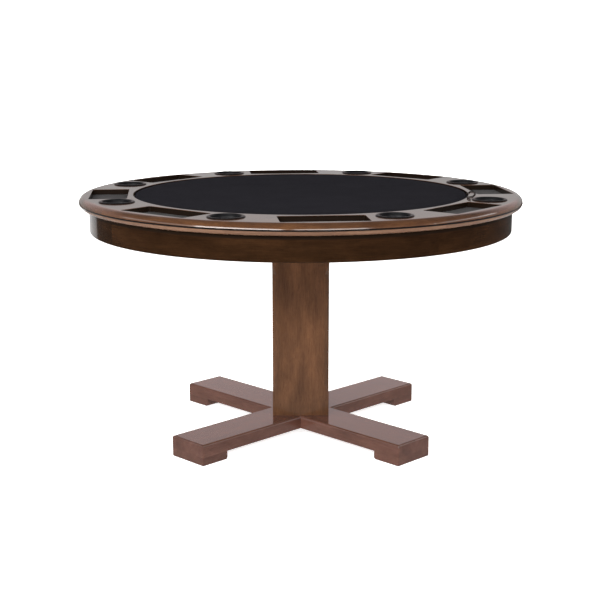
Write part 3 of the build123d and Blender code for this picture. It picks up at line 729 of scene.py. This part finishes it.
flock = tray_flock()
for seat in range(SEATS):
    liner = make_liner(seat)
    liner.data.materials.append(flock)
    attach(liner, "table")
    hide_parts("tray_liners")


# ---- cup holders -----------------------------------------------------------------------------

CUP_FLANGE_RADIUS = 0.0530
CUP_FLANGE_RISE = 0.0034
CUP_FLANGE_EDGE = 0.0006
CUP_BODY_RADIUS = 0.0440
CUP_FOOT_RADIUS = 0.0428
CUP_FOOT_ROUND = 0.005
CUP_WALL = 0.0016
CUP_RIBS = 5
CUP_RIB_RADIUS = 0.034
CUP_RIB_PITCH = 0.0062
CUP_RIB_HEIGHT = 0.0005
CUP_SEGMENTS = 96


def make_cup(seat):
    """A drop-in cup: rolled flange, drafted wall, moulded step and ribbed floor."""
    low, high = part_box(f"cup_holder_{seat}")
    centre = ((low.x + high.x) / 2, (low.y + high.y) / 2)
    flange_foot = high.z - CUP_FLANGE_RISE
    flange_rise = CUP_FLANGE_RISE - CUP_FLANGE_EDGE
    bore = CUP_BODY_RADIUS - CUP_WALL
    crown = (CUP_FLANGE_RADIUS + bore) / 2
    half = (CUP_FLANGE_RADIUS - bore) / 2
    floor = low.z + CUP_WALL
    foot_round = (CUP_FOOT_RADIUS - CUP_FOOT_ROUND, low.z + CUP_FOOT_ROUND)
    profile = [(0.0, low.z), (foot_round[0], low.z)]
    profile += arc(foot_round, CUP_FOOT_ROUND, -75, 0, 6)
    profile += [(CUP_BODY_RADIUS, flange_foot), (CUP_FLANGE_RADIUS - 0.0004, flange_foot)]
    steps = 14
    for i in range(steps + 1):
        across = 1 - 2 * i / steps
        rise = (1 - abs(across) ** 2.6) * flange_rise + CUP_FLANGE_EDGE
        profile.append((crown + half * across, flange_foot + rise))
    profile += [
        (bore - 0.0002, flange_foot - 0.0012),
        (bore - 0.0003, flange_foot - 0.006),
        (bore - 0.0011, flange_foot - 0.0072),
        (bore - 0.0012, flange_foot - 0.020),
        (CUP_FOOT_RADIUS - CUP_WALL, low.z + 0.006),
    ]
    profile += arc(foot_round, CUP_FOOT_ROUND - CUP_WALL, 0, -80, 5)
    for rib in range(CUP_RIBS):
        outer = CUP_RIB_RADIUS - CUP_RIB_PITCH * rib
        profile += [
            (outer, floor),
            (outer - 0.0006, floor + CUP_RIB_HEIGHT),
            (outer - 0.0016, floor + CUP_RIB_HEIGHT),
            (outer - 0.0022, floor),
        ]
    profile.append((0.0, floor))
    return lathe(f"drop_in_cup_{seat}", profile, CUP_SEGMENTS, centre=centre)


black_plastic = cup_plastic()
for seat in range(SEATS):
    cup = make_cup(seat)
    cup.data.materials.append(black_plastic)
    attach(cup, f"cup_{seat}")
    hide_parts(f"cup_holder_{seat}")


# ---- studio ----------------------------------------------------------------------------------


def make_cove():
    """Pale floor that turns up into a low backdrop well behind the table.

    It glows, which keeps it pale under the table. Lacquer doesn't mirror it: it mirrors the
    lights and the room.
    """
    half_width = 60.0
    front = -60.0
    back = 12.0
    bend = 1.2
    height = 1.85
    outline = [(front, 0.0)]
    steps = 16
    for i in range(steps + 1):
        angle = math.pi / 2 * i / steps
        outline.append((back - bend + bend * math.sin(angle), bend - bend * math.cos(angle)))
    outline.append((back, height))
    points = [(x, y, z) for y, z in outline for x in (-half_width, half_width)]
    faces = [(2 * i, 2 * i + 1, 2 * i + 3, 2 * i + 2) for i in range(len(outline) - 1)]
    made = link_mesh("studio_cove", points, faces)
    material, tree, shader = new_material("cove_paint", Roughness=0.8, Emission_Strength=0.9)
    dust = noise_at(tree, place_of(tree), 3.0, 3.0)
    colour = ramp(tree, dust, [(0.3, (0.90, 0.90, 0.90)), (0.7, (0.92, 0.92, 0.92))])
    tree.links.new(colour, shader.inputs["Base Color"])
    tree.links.new(colour, shader.inputs["Emission Color"])
    made.data.materials.append(material)
    made.visible_glossy = False


def make_softbox(name, place, aim, width, height, radiance, mirrored=True):
    """A rectangular studio light aimed at a point, which lacquer mirrors or not."""
    light = bpy.data.lights.new(name, "AREA")
    light.shape = "RECTANGLE"
    light.size, light.size_y = width, height
    light.energy = radiance * math.pi * width * height
    made = bpy.data.objects.new(name, light)
    made.location = place
    made.rotation_euler = (Vector(aim) - Vector(place)).to_track_quat("-Z", "Y").to_euler()
    made.visible_camera = False
    made.visible_glossy = mirrored
    scene.collection.objects.link(made)


RIM_HEIGHT = 0.76
LIGHT_REACH = 3.6
LIGHT_RISE = 1.31
STRIP_HEIGHT = 0.5

# Strip lights in an arc round the front: bearing from the front (left is negative), length
# and brightness of each.
STRIPS = ((-72, 3.2, 3.6), (-29, 2.7, 27.0), (14, 2.2, 15.0), (91, 2.8, 4.6))

# Other lights: name, place, the point it is aimed at, width, height, brightness, and whether
# lacquer mirrors it.
SOFTBOXES = (
    ("left_card", (-1.43, 1.565, 0.42), (-0.62, -0.19, 0.72), 1.05, 0.4, 1.0, True),
    ("floor_light", (0, 4.5, 5.0), (0, 4.0, 0), 14.0, 3.0, 1.6, False),
    ("backdrop_light", (0, 7.0, 4.0), (0, 11.4, 0.4), 10.0, 1.2, 20.0, False),
)

make_cove()
for count, (bearing, length, radiance) in enumerate(STRIPS):
    turn = math.radians(bearing)
    x = LIGHT_REACH * math.sin(turn)
    y = -LIGHT_REACH * math.cos(turn)
    place = (x, y, RIM_HEIGHT + LIGHT_RISE)
    make_softbox(f"strip_{count}", place, (0, 0, RIM_HEIGHT), length, STRIP_HEIGHT, radiance)
for softbox in SOFTBOXES:
    make_softbox(*softbox)

# The room, from straight down (0) to overhead (1): a pale floor near by, a dim far floor, grey
# walls at eye level, a brighter, slightly warm band over them and a dim ceiling.
SKY = (
    (0.35, (0.50, 0.50, 0.50)),
    (0.42, (0.12, 0.12, 0.12)),
    (0.48, (0.12, 0.12, 0.12)),
    (0.50, (0.55, 0.55, 0.55)),
    (0.57, (0.60, 0.60, 0.60)),
    (0.61, (0.95, 0.78, 0.78)),
    (0.72, (0.92, 0.75, 0.75)),
    (0.80, (0.30, 0.30, 0.30)),
)

world = bpy.data.worlds.new("studio")
world.use_nodes = True
sky = world.node_tree
direction = add_node(sky, "ShaderNodeTexCoord").outputs["Generated"]
upward = add_node(sky, "ShaderNodeSeparateXYZ", {0: direction}).outputs[2]
band = remapped(sky, upward, -1.0, 1.0, 0.0, 1.0)
glow = ramp(sky, band, SKY)
sky.links.new(glow, sky.nodes["Background"].inputs["Color"])
scene.world = world
scene.view_settings.view_transform = "Standard"
